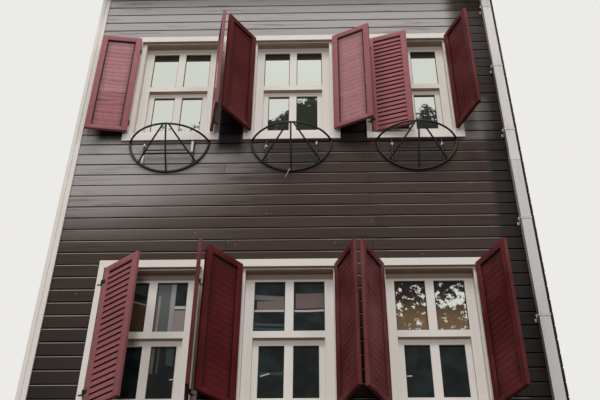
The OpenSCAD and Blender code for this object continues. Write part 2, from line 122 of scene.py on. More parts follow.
def block(name, one, other):
    """Starts a piece as a box between two corners."""
    clear_choice()
    low, high = (Vector([pick(pair) for pair in zip(one, other)]) for pick in (min, max))
    bpy.ops.mesh.primitive_cube_add(size=1, location=(low + high) / 2)
    bpy.context.object.scale = high - low
    return settle(bpy.context.object, name)


def round_bar(name, middle, radius, length, sides=16, turn=(0, 0, 0), ends="NGON"):
    """Starts a piece as a round bar, upright unless turned."""
    clear_choice()
    bpy.ops.mesh.primitive_cylinder_add(
        vertices=sides, radius=radius, depth=length, end_fill_type=ends, location=middle, rotation=turn)
    return settle(bpy.context.object, name)


def shape(piece, kind, test, work):
    """In edit mode, picks the corners, edges or faces whose middle passes the test and works on them."""
    take(piece)
    bpy.ops.object.mode_set(mode="EDIT")
    bpy.ops.mesh.select_mode(type=kind)
    bpy.ops.mesh.select_all(action="DESELECT")
    mesh = bmesh.from_edit_mesh(piece.data)
    if kind == "VERT":
        for corner in mesh.verts:
            corner.select = test(corner.co)
    elif kind == "EDGE":
        for edge in mesh.edges:
            start, end = (corner.co for corner in edge.verts)
            edge.select = test((start + end) / 2, end - start)
    else:
        for face in mesh.faces:
            face.select = test(face.calc_center_median(), face.normal)
    mesh.select_flush_mode()
    bmesh.update_edit_mesh(piece.data)
    work()
    bpy.ops.object.mode_set(mode="OBJECT")
    return piece


def slide(*way):
    """Work for shape: moves what is picked."""
    return lambda: bpy.ops.transform.translate(value=way)


def ease_edges(piece, width, segments=1, test=lambda middle, way: True):
    """Bevels the edges that pass the test."""
    return shape(piece, "EDGE", test, lambda: bpy.ops.mesh.bevel(
        offset=width, segments=segments, affect="EDGES", clamp_overlap=True))


def cut_across(piece, places):
    """Cuts a piece's faces at these places along X."""
    for x in places:
        shape(piece, "FACE", lambda middle, normal: True,
              lambda: bpy.ops.mesh.bisect(plane_co=(x, 0, 0), plane_no=(1, 0, 0)))
    return piece


def modify(piece, kind, **settings):
    """Adds a modifier with these settings and applies it."""
    take(piece)
    modifier = piece.modifiers.new(kind.lower(), kind)
    for key, value in settings.items():
        setattr(modifier, key, value)
    bpy.ops.object.modifier_apply(modifier=modifier.name)
    return piece


def cut_out(piece, cutter):
    """Takes a cutter's shape out of a piece. The cutter goes."""
    modify(piece, "BOOLEAN", object=cutter, operation="DIFFERENCE", solver="EXACT")
    bpy.data.objects.remove(cutter)
    return piece


def join(pieces, name):
    clear_choice()
    for piece in pieces:
        piece.select_set(True)
    bpy.context.view_layer.objects.active = pieces[0]
    if len(pieces) > 1:
        bpy.ops.object.join()
    return named(pieces[0], name)


def copy_of(piece, place, name="copy"):
    """A copy with its own mesh, moved by a matrix."""
    twin = piece.copy()
    twin.data = piece.data.copy()
    twin.name = name
    bpy.context.collection.objects.link(twin)
    twin.data.transform(place)
    if place.is_negative:
        twin.data.flip_normals()
    return twin


def lay_out(model, name, places):
    """Copies a model to each place and joins the copies. The model itself goes."""
    piece = join([copy_of(model, place) for place in places], name)
    bpy.data.objects.remove(model)
    return piece


def node_copy(node, name):
    """A merged copy of a CAD node, to be worked on."""
    twin = copy_of(frame["nodes"][node], Matrix.Identity(4), name)
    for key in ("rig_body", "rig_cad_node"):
        if key in twin:
            del twin[key]
    twin.parent = None
    return shape(twin, "VERT", lambda spot: True, lambda: bpy.ops.mesh.remove_doubles(threshold=0.00002))


def mark(piece, name, values, domain="POINT"):
    """Marks a piece's corners or faces with numbers, or all with one, for its finish to read."""
    marks = piece.data.attributes.new(name, "FLOAT", domain).data
    marks.foreach_set("value", values if isinstance(values, list) else [values] * len(marks))


def dress(piece, *materials):
    """Gives a piece these materials and no others."""
    piece.data.materials.clear()
    for material in materials:
        piece.data.materials.append(material)
    return piece


def at(x, y, z):
    return Matrix.Translation((x, y, z))


def turned(degrees, axis):
    return Matrix.Rotation(radians(degrees), 4, axis)


HALF_TURN = turned(180, "Z")
FRONT_OPENINGS = [(x, sill) for sill in SILLS[1:] for x in WINDOW_XS] + [(x, SILLS[0]) for x in WINDOW_XS[1:]]
BACK_OPENINGS = [(x, sill) for sill in SILLS for x in WINDOW_XS]
front_places = [at(x, FRONT, sill) for x, sill in FRONT_OPENINGS]
back_places = [HALF_TURN @ at(x, FRONT, sill) for x, sill in BACK_OPENINGS]


def finished(piece, finish, body="house", nodes=(), smooth=None):
    """Gives a new piece its finish, its body and the CAD nodes that it stands for."""
    if finish:
        dress(piece, finish)
    take(piece)
    if smooth:
        bpy.ops.object.shade_smooth_by_angle(angle=radians(smooth))
    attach(piece, body)
    if nodes:
        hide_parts(*nodes)
    return piece


# Finishes

def paint(red, green, blue):
    """A paint's shade in 0 to 255 as a shader takes it."""
    shares = [tone / 255 for tone in (red, green, blue)]
    return tuple(tone / 12.92 if tone <= 0.04 else ((tone + 0.055) / 1.055) ** 2.4 for tone in shares) + (1,)


def maths(operation, reflected=False):
    """A method of Value that adds a Math node. Reflected, it puts the other number first."""
    def add_node(self, *others):
        terms = (*others, self) if reflected else (self, *others)
        return self.nodes.node("Math", {"operation": operation}, dict(enumerate(terms)))
    return add_node


class Value:
    """A number or colour that varies over a surface. Arithmetic on it adds the Math nodes."""

    def __init__(self, nodes, socket):
        self.nodes, self.socket = nodes, socket

    __add__, __radd__ = maths("ADD"), maths("ADD", True)
    __sub__, __rsub__ = maths("SUBTRACT"), maths("SUBTRACT", True)
    __mul__, __rmul__ = maths("MULTIPLY"), maths("MULTIPLY", True)
    __truediv__, __rtruediv__ = maths("DIVIDE"), maths("DIVIDE", True)
    __gt__, __lt__ = maths("GREATER_THAN"), maths("LESS_THAN")
    whole, part, size = maths("FLOOR"), maths("FRACT"), maths("ABSOLUTE")
    least, most = maths("MINIMUM"), maths("MAXIMUM")

    def rise(self, low, high):
        """0 below low, 1 above high and smooth between them."""
        return self.nodes.node("MapRange", {"interpolation_type": "SMOOTHSTEP"},
                               {"Value": self, "From Min": low, "From Max": high})

    def band(self, low, high, soft=0.004):
        """1 between low and high."""
        return self.rise(low - soft, low + soft) * (1 - self.rise(high - soft, high + soft))


class Nodes:
    """A node tree that starts empty."""

    def __init__(self, tree):
        self.tree = tree
        tree.nodes.clear()

    def feed(self, socket, value):
        if isinstance(value, Value):
            self.tree.links.new(value.socket, socket)
        else:
            socket.default_value = value

    def node(self, kind, settings, sockets, output=0):
        """Adds a node: its settings first, then the values or links of its sockets."""
        made = self.tree.nodes.new("ShaderNode" + kind)
        for key, value in settings.items():
            setattr(made, key, value)
        for key, value in sockets.items():
            self.feed(made.inputs[key], value)
        return Value(self, made.outputs[output]) if made.outputs else None

    def seen(self):
        """1 for what is seen itself, in a mirror or through glass, and 0 for the light that it throws."""
        kinds = ("Camera", "Glossy", "Transmission")
        camera, gloss, through = (self.node("LightPath", {}, {}, "Is %s Ray" % kind) for kind in kinds)
        return camera.most(gloss).most(through)


class Finish(Nodes):
    """A procedural material, with its colour so far."""

    def __init__(self, name, roughness=0.5, specular=0.5, metallic=0.0):
        self.material = bpy.data.materials.new(name)
        self.material.use_nodes = True
        super().__init__(self.material.node_tree)
        shader = self.node("BsdfPrincipled", {}, {
            "Roughness": roughness, "Specular IOR Level": specular, "Metallic": metallic})
        self.shader = shader.socket.node
        self.node("OutputMaterial", {}, {"Surface": shader})
        self.spot = self.node("TexCoord", {}, {}, "Object")
        split = self.node("SeparateXYZ", {}, {0: self.spot}).socket.node
        self.x, self.y, self.z = (Value(self, socket) for socket in split.outputs)
        self.colour = None

    def noise(self, scale, detail=3.0, stretch=(1, 1, 1), shift=(0, 0, 0), rough=0.5):
        placed = self.node("Mapping", {}, {"Vector": self.spot, "Scale": stretch, "Location": shift})
        return self.node("TexNoise", {}, {
            "Vector": placed, "Scale": scale, "Detail": detail, "Roughness": rough})

    def cells(self, scale):
        """How far a spot is from its cell's middle, for specks and chips."""
        return self.node("TexVoronoi", {}, {"Vector": self.spot, "Scale": scale})

    def marked(self, name):
        return self.node("Attribute", {"attribute_name": name}, {}, "Fac")

    def mix(self, first, second, share):
        """Mixes two colours, each a shade in 0 to 255 or a mix itself."""
        first, second = (paint(*tone) if isinstance(tone, tuple) else tone for tone in (first, second))
        return self.node("Mix", {"data_type": "RGBA"}, {0: share, 6: first, 7: second}, 2)

    def start(self, first, second, share):
        """Starts the colour as a mix of two."""
        self.colour = self.mix(first, second, share)

    def over(self, tone, share):
        """Lays a tone over the colour so far."""
        self.colour = self.mix(self.colour, tone, share)

    def coat(self, roughness=None, metallic=None, alpha=None, height=None, depth=0.0008, strength=0.4):
        """Feeds the shader, with the colour so far and a bump of this height."""
        fed = {"Base Color": self.colour, "Roughness": roughness, "Metallic": metallic, "Alpha": alpha}
        if height is not None:
            fed["Normal"] = self.node("Bump", {}, {"Height": height, "Distance": depth, "Strength": strength})
        for name, value in fed.items():
            if value is not None:
                self.feed(self.shader.inputs[name], value)
        return self.material


# The height that a siding board shows, and the joint from which the courses are counted down
COURSE, TOP_JOINT = 0.1443, 10.6197

# Painted shadow on the boards between the top windows and under the first leaf, and painted shade
# with drip stains behind the baskets: low and high x with its softness, the same for z, and how dark
SHADE_AND_DRIP_PATCHES = [(-0.85, -0.55, 0.06, 8.18, 9.8, 0.12, 0.95), (0.46, 0.82, 0.05, 8.25, 9.8, 0.09, 0.95),
             (-2.16, -1.84, 0.05, 8.37, 9.7, 0.05, 0.95)]
SHADE_AND_DRIP_PATCHES += [(x - 0.30, x + 0.30, 0.08, 7.98, 8.4, 0.10, dark)
              for x, dark in zip(WINDOW_XS, (0.285, 0.38, 0.4275))]


def stained_boards():
    """Dark stain on boards: painted sky sheen high up and to the left, near black low down, painted highlight
    on top edges.
    """
    f = Finish("siding", specular=0.1)
    in_course = ((TOP_JOINT - f.z) / COURSE).part()
    own = f.marked("own_shade")
    grain = f.noise(9.0, 6.0, (0.3, 1, 9), rough=0.7)
    streak = f.noise(3.0, 4.0, (0.4, 1, 6), (3, 0, 1), rough=0.6)
    cloud = f.noise(0.9, 3.0, (0.6, 1, 1), (9, 2, 5))
    along = f.noise(1.6, 3.0, (1, 1, 0.3), (5, 1, 2))
    front = 1 - (f.y > 0)
    # painted sky sheen: the boards grey high up, to the left and in a patch beside the pipe
    sheen_to_left = f.z.rise(6.7, 7.9) * (1 - (f.x + (cloud - 0.5) * 1.2).rise(-1.95, 0.35)) * front
    sheen_high_up = f.z.rise(8.6, 10.0) * (1 - f.x.rise(1.72, 1.98) * 0.85 * front)
    by_pipe = f.x.band(1.78, 2.16, 0.05) * f.z.band(8.28, 8.98, 0.08) * front * 0.4
    board_sheen = (sheen_to_left.most(sheen_high_up).most(by_pipe) - (own - 0.5) * 0.2).rise(0.0, 1.0)
    low_down = 1 - f.z.rise(5.4, 7.0)
    f.start((38, 27, 23), (72, 56, 49), grain * 0.6 + own * 0.5 + (streak - 0.42) * 0.5)
    f.over((30, 24, 21), low_down * 0.85)
    # the painted sheen is grey, and paler still at the very top to undo the cornice's shadow
    grey = f.mix((138, 132, 129), (184, 179, 176), grain * 0.5 + streak * 0.5)
    f.over(f.mix(grey, (196, 192, 189), f.z.rise(9.9, 10.6) * 0.8), board_sheen)
    f.over((30, 23, 21), streak.rise(0.52, 0.7) * (0.6 - board_sheen * 0.15))
    # painted highlight along each board's top bevel, weaker where the sheen is
    edge = in_course.band(0.030, 0.092, 0.012) * (0.45 + along.rise(0.4, 0.6) * 0.35 + low_down * 0.15)
    f.over((186, 178, 170), edge * (1 - board_sheen * 0.5))
    # darker beside the pipe, then the patches of painted shadow
    dark = f.x.rise(2.0, 2.12) * (0.9 - f.z.rise(8.2, 8.7) * 0.35)
    for low_x, high_x, soft_x, low, high, soft, share in SHADE_AND_DRIP_PATCHES:
        dark = dark.most(f.x.band(low_x, high_x, soft_x) * f.z.band(low, high, soft) * share)
    f.over((26, 23, 21), dark * front)
    f.over((196, 188, 180), (f.cells(7.0) < 0.035) * 0.5)
    return f.coat(roughness=0.5 + grain * 0.22, height=grain + streak * 0.6, depth=0.0016, strength=0.6)


def paper_and_gap_shade():
    """Black building paper behind the boards, which also stands in for the shade in the gaps between them."""
    f = Finish("paper_and_gap_shade", roughness=0.9, specular=0.05)
    fibre = f.noise(35.0, 4.0)
    f.start((8, 7, 7), (18, 16, 15), fibre)
    return f.coat(height=fibre, depth=0.0005, strength=0.3)


def white_paint():
    """Warm white paint with brush marks and dust patches; painted shade browns undersides and window heads.
    """
    f = Finish("white_paint", specular=0.25)
    patch = f.noise(3.0, 4.0, (1, 1, 0.4))
    brush = f.noise(16.0, 3.0, (3, 3, 0.25))
    f.start((216, 208, 199), (226, 220, 213), patch)
    f.over((190, 178, 165), patch.rise(0.56, 0.75) * 0.2)
    # painted shade: the frames' head rails brown under the soffit, less so in the top row
    in_storey = ((f.z - SILLS[0]) / STOREY).part() * STOREY
    head_shade = in_storey.rise(OPENING_H - 0.085, OPENING_H - 0.065) * f.y.band(FRONT + 0.05, FRONT + 0.4)
    f.over((112, 90, 74), head_shade * (0.85 - f.z.rise(8.4, 8.5) * 0.5))
    # painted shade: surfaces that face down turn browner
    facing = f.node("SeparateXYZ", {}, {0: f.node("NewGeometry", {}, {}, "Normal")}, 2)
    f.over((150, 122, 100), (0 - facing).rise(0.5, 0.9) * (0.6 + patch * 0.4))
    return f.coat(roughness=0.42 + brush * 0.2, height=brush, depth=0.0008, strength=0.3)


# Height of the joint between two lengths of the downpipe
JOINT_Z = 7.936


def pipe_white():
    """White coated sheet metal, streaked with rain dirt, and greyer below the sleeve."""
    f = Finish("pipe_white", specular=0.5)
    drip = f.noise(7.0, 4.0, (4, 4, 0.25))
    f.start((206, 200, 193), (174, 165, 155), drip.rise(0.5, 0.78) * 0.6)
    f.over((178, 173, 174), (f.z < JOINT_Z - 0.006) * 0.6)
    return f.coat(roughness=0.36 + drip * 0.2, height=f.noise(5.0), depth=0.002, strength=0.12)


def burgundy_paint():
    """Burgundy paint, worn and chipped: painted sky sheen turns some leaves pink, painted shade darkens
    recesses.
    """
    f = Finish("burgundy_paint", specular=0.1)
    cloud = f.noise(2.4, 4.0, (1, 1, 0.8))
    brush = f.noise(14.0, 5.0, (1, 1, 6), rough=0.7)
    wear = f.noise(26.0, 5.0, (1, 1, 0.6), rough=0.7)
    # painted sky sheen: leaves that face the street turn pink, each board by its own amount
    leaf_sheen = (f.marked("leaf_sheen") + (cloud - 0.5) * 0.5).rise(0.0, 1.0)
    f.start((76, 22, 24), (96, 34, 36), cloud.rise(0.3, 0.72))
    f.over(f.mix((158, 106, 110), (184, 135, 140), brush), leaf_sheen)
    f.over((134, 58, 60), (1 - f.marked("own_shade")) * 0.55 * leaf_sheen)
    f.over((74, 24, 28), wear.rise(0.5, 0.8) * 0.4)
    # painted shade in the recesses, at louvre ends and behind the boards
    f.over((24, 12, 13), f.marked("painted_shade"))
    f.over((206, 176, 170), (f.cells(24.0) < 0.05) * wear.rise(0.52, 0.6) * 0.6)
    return f.coat(roughness=0.4 + wear * 0.22, height=wear + brush * 0.5)


def black_iron():
    """Black paint on wrought iron, uneven, with a little rust."""
    f = Finish("black_iron", specular=0.3)
    pit = f.noise(60.0, 4.0)
    rust = f.noise(6.0, 5.0, shift=(2, 7, 1)).rise(0.62, 0.74)
    f.start((10, 10, 10), (22, 21, 20), pit)
    f.over((74, 46, 32), rust * 0.3)
    return f.coat(roughness=0.3 + pit * 0.2 + rust * 0.2, height=pit)


def handle_white():
    """Glossy white plastic, a little yellowed."""
    f = Finish("handle_white", specular=0.5)
    f.start((232, 231, 228), (214, 210, 204), f.noise(30.0))
    return f.coat(roughness=0.25 + f.noise(60.0) * 0.1)


def zinc():
    """Galvanised steel gone dull, with pale blooms."""
    f = Finish("zinc", roughness=0.5, metallic=0.3)
    bloom = f.noise(45.0, 4.0)
    f.start((150, 146, 134), (196, 192, 182), bloom)
    return f.coat(height=bloom, depth=0.0005, strength=0.3)


def seal_black():
    """Black rubber gone dull."""
    f = Finish("seal_black", specular=0.3)
    f.start((16, 15, 15), (34, 32, 31), f.noise(20.0))
    return f.coat(roughness=0.6 + f.noise(50.0) * 0.2)


def cement_render():
    """Plain cement render with trowel marks, damp patches and a dark foot."""
    f = Finish("render", specular=0.2)
    trowel = f.noise(5.0, 6.0, rough=0.6)
    damp = f.noise(0.5, 4.0, (1, 1, 0.7), (4, 1, 0))
    grit = f.noise(110.0, 3.0)
    f.start((176, 168, 155), (196, 189, 176), trowel)
    f.over((128, 120, 108), damp.rise(0.52, 0.75) * 0.55)
    f.over((104, 98, 90), (1 - f.z.rise(0.0, 1.4)) * (0.35 + damp * 0.4))
    return f.coat(roughness=0.85 + grit * 0.1, height=grit + trowel * 2, depth=0.003, strength=0.5)


def plaster():
    """Plain plaster on the room side of the walls."""
    f = Finish("plaster", specular=0.2)
    cloud = f.noise(1.5, 4.0)
    f.start((112, 104, 94), (134, 126, 114), cloud)
    return f.coat(roughness=0.9 + cloud * 0.05, height=f.noise(30.0, 4.0), depth=0.001, strength=0.4)


def stone():
    """Dressed grey stone with grain and moss low down."""
    f = Finish("stone", specular=0.25)
    grain = f.noise(40.0, 6.0, rough=0.7)
    bed = f.noise(3.0, 4.0, (1, 1, 3))
    f.start((128, 124, 117), (160, 155, 146), bed)
    f.over((84, 82, 78), grain.rise(0.5, 0.8) * 0.6)
    f.over((74, 78, 62), (1 - f.z.rise(0.0, 0.35)) * bed.rise(0.45, 0.7) * 0.6)
    return f.coat(roughness=0.8 + grain * 0.15, height=grain + bed, depth=0.004, strength=0.7)


def floor_boards():
    """Bare boards, 14 cm wide, that run from front to back."""
    f = Finish("floor_boards", specular=0.3)
    lane = f.x / 0.14
    seam = lane.part() < 0.025
    row = f.node("CombineXYZ", {}, {0: lane.whole(), 1: 1.0, 2: 2.0})
    own = f.node("TexWhiteNoise", {"noise_dimensions": "3D"}, {"Vector": row})
    grain = f.noise(12.0, 5.0, (8, 0.4, 8))
    f.start((120, 92, 66), (158, 126, 94), grain)
    f.over((86, 64, 46), own * 0.5)
    f.over((30, 22, 16), seam)
    return f.coat(roughness=0.55 + grain * 0.2, height=grain - seam * 2, depth=0.001, strength=0.5)


def clay_tiles():
    """Fired clay tiles, each with its own shade, with lichen and soot."""
    f = Finish("roof_tiles", specular=0.3)
    grain = f.noise(45.0, 5.0)
    lichen = f.noise(3.2, 5.0, rough=0.65, shift=(1, 5, 2))
    f.start((140, 74, 50), (190, 112, 78), f.marked("own_shade"))
    f.over((112, 60, 44), grain.rise(0.45, 0.8) * 0.5)
    f.over((104, 98, 82), lichen.rise(0.56, 0.72) * 0.6)
    return f.coat(roughness=0.72 + grain * 0.2, height=grain, depth=0.002, strength=0.5)


def varnished_door():
    """Dark varnish over upright grain."""
    f = Finish("door_wood", specular=0.2)
    grain = f.noise(14.0, 6.0, (6, 6, 0.5), rough=0.7)
    f.start((50, 28, 18), (92, 54, 34), grain)
    return f.coat(roughness=0.3 + grain * 0.25, height=grain)


def worn_brass():
    """Brass, brown with tarnish in patches."""
    f = Finish("worn_brass", metallic=1.0)
    tarnish = f.noise(40.0, 4.0)
    f.start((150, 118, 66), (84, 64, 40), tarnish)
    return f.coat(roughness=0.3 + tarnish * 0.25)


# Places in a window's opening: the top light's panes, and the casement's, from its sill up
PANES_UP, PANES_H = 0.868, 0.550
SASH_UP = 0.204
# Tones of the painted reflections of the housefronts opposite
REFLECTED_GREY, BAR_TONE, TEAL = (112, 98, 92), (190, 184, 178), (62, 76, 78)


def window_glass():
    """Glass with painted reflections: sky and trees in the top row, housefronts opposite in the row below."""
    f = Finish("window_glass", roughness=0.06, specular=0.15)
    leaves = f.noise(15.0, 6.0, rough=0.75)
    twigs = f.noise(5.0, 4.0, shift=(3, 0, 8), rough=0.6)
    bent = f.noise(3.0, 2.0, shift=(6, 0, 2)) - 0.5
    front = 1 - (f.y > 0)
    top_row = (f.z > SILLS[2]) * front
    middle_row = (f.z > SILLS[1]) * (f.z < SILLS[2]) * front
    upper_light = (f.z > SILLS[1] + 0.8) * middle_row
    right_light = (f.x > 0.95) * upper_light
    up = (f.z - SILLS[1] - PANES_UP + bent * 0.02) / PANES_H

    # painted reflection: trees stand at the foot of the middle and right windows of the top row, and the
    # soffit darkens each top pane's head
    foot = f.z - SILLS[2] - SASH_UP
    rising = (f.x + 0.27).rise(0.0, 0.22) * 0.26 + (f.x > 0) * 0.14
    crown = (rising + 0.17) * f.x.band(-0.5, 0.5) + (0.30 - (f.x - 1.50).size() * 0.5) * (f.x > 1.1)
    tree = (crown - foot + (twigs - 0.5) * 0.5 + (leaves - 0.5) * 0.8).rise(-0.01, 0.02)
    tree = tree * (1 - (leaves.rise(0.60, 0.62) * (foot + 0.25 - crown).rise(0.0, 0.2) * 0.9))
    blot = ((f.x + 1.075).size() + (foot - 0.15).size() * 0.6 + (leaves - 0.5) * 0.06) < 0.022
    under_soffit = f.z > SILLS[2] + PANES_UP + PANES_H - 0.098

    # painted reflection: sky shows through the leaves of trees in the right window of the row below
    gaps = leaves * 0.62 + twigs * 0.38 + (f.x > WINDOW_XS[2]) * 0.045 - (up - 0.6).size() * 0.05
    mirror = top_row * (1 - tree.most(blot).most(under_soffit)) + right_light * gaps.rise(0.538, 0.568)

    # the dark side of a pane is teal and black, with painted reflections of trees and the soffit in the top
    # row
    f.start((20, 22, 22), (36, 46, 47), twigs.rise(0.35, 0.7))
    f.over((34, 40, 30), top_row)
    f.over((56, 46, 39), top_row * under_soffit)

    def reflected_front(low_x, high_x, low, high, tone, share=1.0, slope=0.0, soft=0.012):
        """A painted reflection of part of the housefronts opposite, as a bar or a plain area in the upper
        panes.
        """
        level = up + (f.x - low_x) * slope
        f.over(tone, f.x.band(low_x, high_x) * level.band(low, high, soft) * upper_light * share)

    reflected_front(-0.4, -0.05, 0.66, 0.76, (112, 112, 110), 0.8, 0.15)
    reflected_front(-0.34, -0.05, 0.44, 0.62, REFLECTED_GREY)
    reflected_front(0.03, 0.33, 0.47, 0.78, REFLECTED_GREY, 0.85)
    reflected_front(-0.4, 0.4, 0.405, 0.440, BAR_TONE)
    reflected_front(-0.36, -0.05, 0.13, 0.18, TEAL, 0.9, 0.1)
    reflected_front(-0.36, -0.05, 0.06, 0.09, TEAL, 0.8, 0.1)
    reflected_front(-1.75, -1.39, 0.0, 0.62, (70, 56, 42), 0.9, soft=0.1)
    reflected_front(-1.75, -1.39, 0.72, 0.75, (130, 130, 130), 0.8, 0.5)
    reflected_front(-1.32, -1.16, 0.0, 1.0, (98, 100, 100), 0.9)
    reflected_front(-1.29, -1.27, 0.0, 0.75, (150, 142, 134), 0.8)
    reflected_front(-1.175, -1.13, 0.0, 1.0, (158, 154, 151), 0.9)
    reflected_front(-1.13, -1.0, 0.47, 0.53, BAR_TONE)
    reflected_front(-1.13, -1.0, 0.0, 0.44, (146, 132, 129))
    # painted reflection of trees, brown, in the right window's top light
    brown = f.mix((40, 30, 20), (132, 106, 74), (0.75 - up).rise(0.0, 0.6) * (0.5 + twigs * 0.5))
    f.over(brown, right_light)

    # the lower panes show faint strips, and a pale lever each
    down = f.z - SILLS[1] - SASH_UP
    lower = (down < 0.6) * middle_row
    strips = f.x.band(-1.31, -1.28) + f.x.band(-1.25, -1.235, 0.003) * 0.7
    opaque = strips * down.band(0.26, 0.60) * lower
    f.over((112, 98, 82), opaque * 0.7)
    f.over((70, 92, 92), f.x.band(-1.17, -1.10) * down.band(0.34, 0.56) * lower * 0.6)
    f.over((84, 94, 90), f.x.band(-0.4, -0.05) * down.band(0.24, 0.27) * lower * 0.4)
    for low_x, high_x, level, slope in (
            (-1.115, -1.068, 0.200, 0.1), (-0.288, -0.205, 0.229, 0.34), (1.024, 1.094, 0.222, 0.04)):
        height = down - level - (f.x - low_x) * slope
        lever = f.x.band(low_x, high_x, 0.003) * height.band(-0.006, 0.006, 0.003) * lower
        f.over((200, 200, 194), lever * 0.9)
        opaque = opaque.most(lever)
    f.over((120, 122, 118), (f.cells(30.0) < 0.07) * lower * 0.35)

    # painted reflection of the sky, where the glass is also made metallic
    f.over((222, 226, 219), mirror)
    opaque = (upper_light + opaque + top_row).least(1.0)
    return f.coat(roughness=0.05 + leaves * 0.03, metallic=mirror, alpha=0.82 + opaque * 0.18)


siding, gap_shade, room_plaster = stained_boards(), paper_and_gap_shade(), plaster()
white, pipe, burgundy, iron = white_paint(), pipe_white(), burgundy_paint(), black_iron()
clay, plastic = clay_tiles(), handle_white()

for finish, nodes in (
        (cement_render(), "left_wall right_wall"),
        (floor_boards(), "ground_floor first_floor second_floor attic_floor"),
        (white, "cornice_front cornice_back corner_board front_linings front_frames front_casements"),
        (white, "back_windows door_frame"), (varnished_door(), "door_leaf"), (plastic, "window_handles"),
        (window_glass(), "front_glass back_glass"), (pipe, "gutter downpipe pipe_straps"),
        (iron, "shutter_pintles basket_left basket_middle basket_right")):
    for node in nodes.split():
        dress(frame["nodes"][node], finish)


# Walls: a core with a skin of boards, cut out at the openings

BOARD_T = 0.022
BOARD_GAP = 0.0105
FIRST_COURSE, LAST_COURSE = -2, 69
CUT_SIDE, CUT_END = 0.02, 0.03
# Butt joints that the photo shows, as x and z, and the height below which they are guessed
SEEN_JOINTS = [(-0.735, 7.994), (-0.669, 6.880), (0.784, 7.495), (0.832, 7.210), (0.790, 6.924),
               (0.734, 8.085), (0.775, 7.791)]
LOWEST_SEEN = 5.25
BUTT_GAP = 0.003


def board_model():
    """One board, a metre long: square below, and with a steep slope along its top edge."""
    board = block("board", (0, FRONT, 0), (1, FRONT + BOARD_T, COURSE - BOARD_GAP))

    def face_edge(low, high):
        return lambda middle, way: abs(way.x) > 0.5 and middle.y < FRONT + 0.001 and low < middle.z < high

    ease_edges(board, 0.007, test=face_edge(0.1, 1))
    shape(board, "EDGE", face_edge(0.1, 1), slide(0, 0, -0.006))
    return ease_edges(board, 0.0015, test=face_edge(-1, 0.01))


def board_skin(name, openings, seen_joints):
    """Courses of boards over a wall that faces -Y, each a little out of line, with the openings cut out."""
    model = board_model()
    boards = []
    for course in range(FIRST_COURSE, LAST_COURSE + 1):
        low = TOP_JOINT - COURSE * (course + 1) + BOARD_GAP / 2
        cuts = [x for x, z in seen_joints if low < z < low + COURSE]
        if not seen_joints or low < LOWEST_SEEN:
            cuts = [random.uniform(-1.9, -0.3), random.uniform(0.3, 1.9)]
        ends = [-HALF_W] + sorted(cuts) + [HALF_W]
        for start, end in zip(ends, ends[1:]):
            place = at(0, random.uniform(-0.0006, 0.0009), low + random.uniform(-0.0012, 0.0012))
            board = copy_of(model, place)
            start += BUTT_GAP if start > -HALF_W else 0
            for corner in board.data.vertices:
                corner.co.x = start + corner.co.x * (end - start)
            mark(board, "own_shade", random.random())
            boards.append(board)
    bpy.data.objects.remove(model)
    holes = [(x, OPENING_HALF + CUT_SIDE, sill - CUT_END, sill + OPENING_H + CUT_END) for x, sill in openings]
    if openings is FRONT_OPENINGS:
        holes.append((DOOR_X, DOOR_HALF + CUT_SIDE, -0.1, DOOR_TOP + CUT_END))
    cutters = [block("cutter", (x - half, FRONT - 0.1, low), (x + half, FRONT + 0.1, top))
               for x, half, low, top in holes]
    return cut_out(join(boards, name), join(cutters, "cutters"))


def wall(side, openings, seen_joints, face):
    """A clad wall: the CAD walls' core, set back by the boards' thickness, under a skin of boards."""
    name, nodes = side + "_wall_cladding", [side + "_wall_bands", side + "_wall_piers"]
    outward = 1 if face > 0 else -1
    core = join([node_copy(node, node + "_core") for node in nodes], name + "_core")
    dress(core, siding, room_plaster, gap_shade)
    # the core's outer face takes the black paper, painted shade in the gaps between the boards
    for polygon in core.data.polygons:
        outside = polygon.normal.y * outward > 0.9 and abs(polygon.center.y - face) < 0.01
        polygon.material_index = 2 if outside else 1
    for corner in core.data.vertices:
        if abs(corner.co.y - face) < 0.001:
            corner.co.y -= (BOARD_T + 0.0005) * outward
    skin = dress(board_skin(name + "_boards", openings, seen_joints), siding)
    if face > 0:
        skin.data.transform(HALF_TURN)
    return finished(join([skin, core], name), None, nodes=nodes)


wall("front", FRONT_OPENINGS, SEEN_JOINTS, FRONT)
wall("back", BACK_OPENINGS, [], -FRONT)


# Stone base course

STONE_LEN, STONE_H, STONE_OUT, MORTAR_OUT = 0.62, 0.300, 0.030, 0.018


def stone_run(start, end):
    """Two courses of dressed stones over a bed of mortar."""
    stones = [block("mortar", (start, FRONT - MORTAR_OUT, 0), (end, FRONT, 2 * STONE_H - 0.002))]
    count = max(1, round((end - start) / STONE_LEN))
    length = (end - start) / count
    for course in range(2):
        edges = [start] + [start + (i + 0.5 * course) * length for i in range(1 - course, count)] + [end]
        for left, right in zip(edges, edges[1:]):
            one = block("stone", (left + 0.004, FRONT - STONE_OUT, course * STONE_H + 0.003),
                        (right - 0.004, FRONT - 0.002, (course + 1) * STONE_H - 0.003))
            stones.append(ease_edges(one, 0.006, 2, lambda middle, way: middle.y < FRONT - STONE_OUT + 0.001))
    return stones


door_side = DOOR_HALF + CASING_SIDE
front_stones = stone_run(-HALF_W, DOOR_X - door_side) + stone_run(DOOR_X + door_side, HALF_W)
back_stones = join(stone_run(-HALF_W, HALF_W), "back_stones")
back_stones.data.transform(HALF_TURN)
finished(join(front_stones + [back_stones], "plinth_stones"), stone(), nodes=["plinth"])


# Roof: a deck under barrel tiles, pans below and covers above, with ridge tiles

